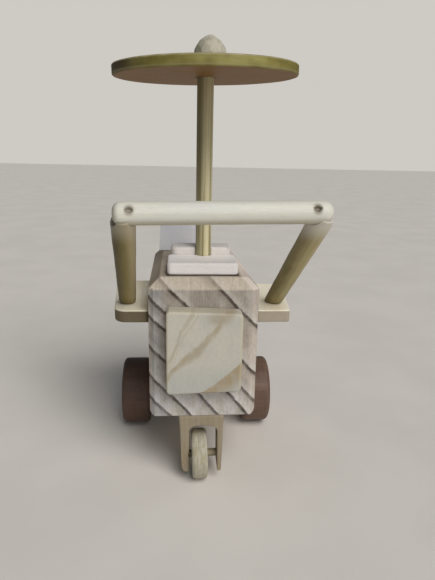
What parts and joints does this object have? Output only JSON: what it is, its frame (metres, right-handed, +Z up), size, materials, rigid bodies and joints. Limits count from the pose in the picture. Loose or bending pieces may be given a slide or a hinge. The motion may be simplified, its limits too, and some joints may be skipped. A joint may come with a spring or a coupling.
{
  "type": "three-wheeled toy cart",
  "caption": "Hand-made wooden toy cart: square timber body on a small front wheel and wide rear wheels, with push bar, seat and round parasol.",
  "frame": {"origin": "middle of the cart's own box, on the floor it stands on", "axes": "+Z up; -Y is the cart's front, where the nose block, the push bar and the single wheel are; +X is on the right of someone who looks at that front"},
  "size_m": [0.0755, 0.083, 0.1645],
  "materials": {
    "body_pine": "sawn end grain, unfinished",
    "nose_pine": "sanded, unfinished",
    "seat_wood": "sanded, unfinished",
    "back_wood": "sanded, unfinished",
    "side_board_wood": "sanded, unfinished",
    "upright_wood": "whittled stick, unfinished",
    "push_bar_wood": "bare dowel, sanded",
    "mast_wood": "bare dowel",
    "disc_wood": "bare edge-sawn board",
    "knob_wood": "whittled, unfinished",
    "fork_wood": "sawn, unfinished",
    "front_wheel_wood": "sanded, unfinished",
    "pin_wood": "bare dowel",
    "axle_wood": "bare dowel",
    "rear_wheel_wood": "dark hardwood, smooth",
    "dowel_wood": "bare dowel",
    "nail_steel": "dull wire nail"
  },
  "bodies": {
    "chassis": {"body_block": "body_pine", "nose_block": "nose_pine", "nose_dowels": "dowel_wood", "seat_front_slat": "seat_wood", "seat_rear_slat": "seat_wood", "back_board": "back_wood", "back_board_pegs": "dowel_wood", "left_side_board": "side_board_wood", "right_side_board": "side_board_wood", "side_board_pegs": "dowel_wood", "left_upright": "upright_wood", "right_upright": "upright_wood", "upright_nails": "nail_steel", "push_bar": "push_bar_wood", "push_bar_nails": "nail_steel", "mast": "mast_wood", "parasol_disc": "disc_wood", "parasol_knob": "knob_wood", "front_fork": "fork_wood", "fork_dowel": "dowel_wood", "front_pin": "pin_wood", "rear_axle_block": "fork_wood", "axle_block_dowels": "dowel_wood"},
    "front_wheel": {"front_wheel": "front_wheel_wood"},
    "rear_wheelset": {"rear_axle": "axle_wood", "left_rear_wheel": "rear_wheel_wood", "right_rear_wheel": "rear_wheel_wood"}
  },
  "joints": [
    {"name": "front_wheel_spin", "type": "hinge", "parent": "chassis", "child": "front_wheel", "pos_m": [-0.0024, -0.0183, 0.00976], "axis": [0.999, 0, 0.0436], "continuous": true},
    {"name": "rear_wheels_spin", "type": "hinge", "parent": "chassis", "child": "rear_wheelset", "pos_m": [-0.0024, 0.0263, 0.0152], "axis": [1, 0, 0], "continuous": true}
  ]
}
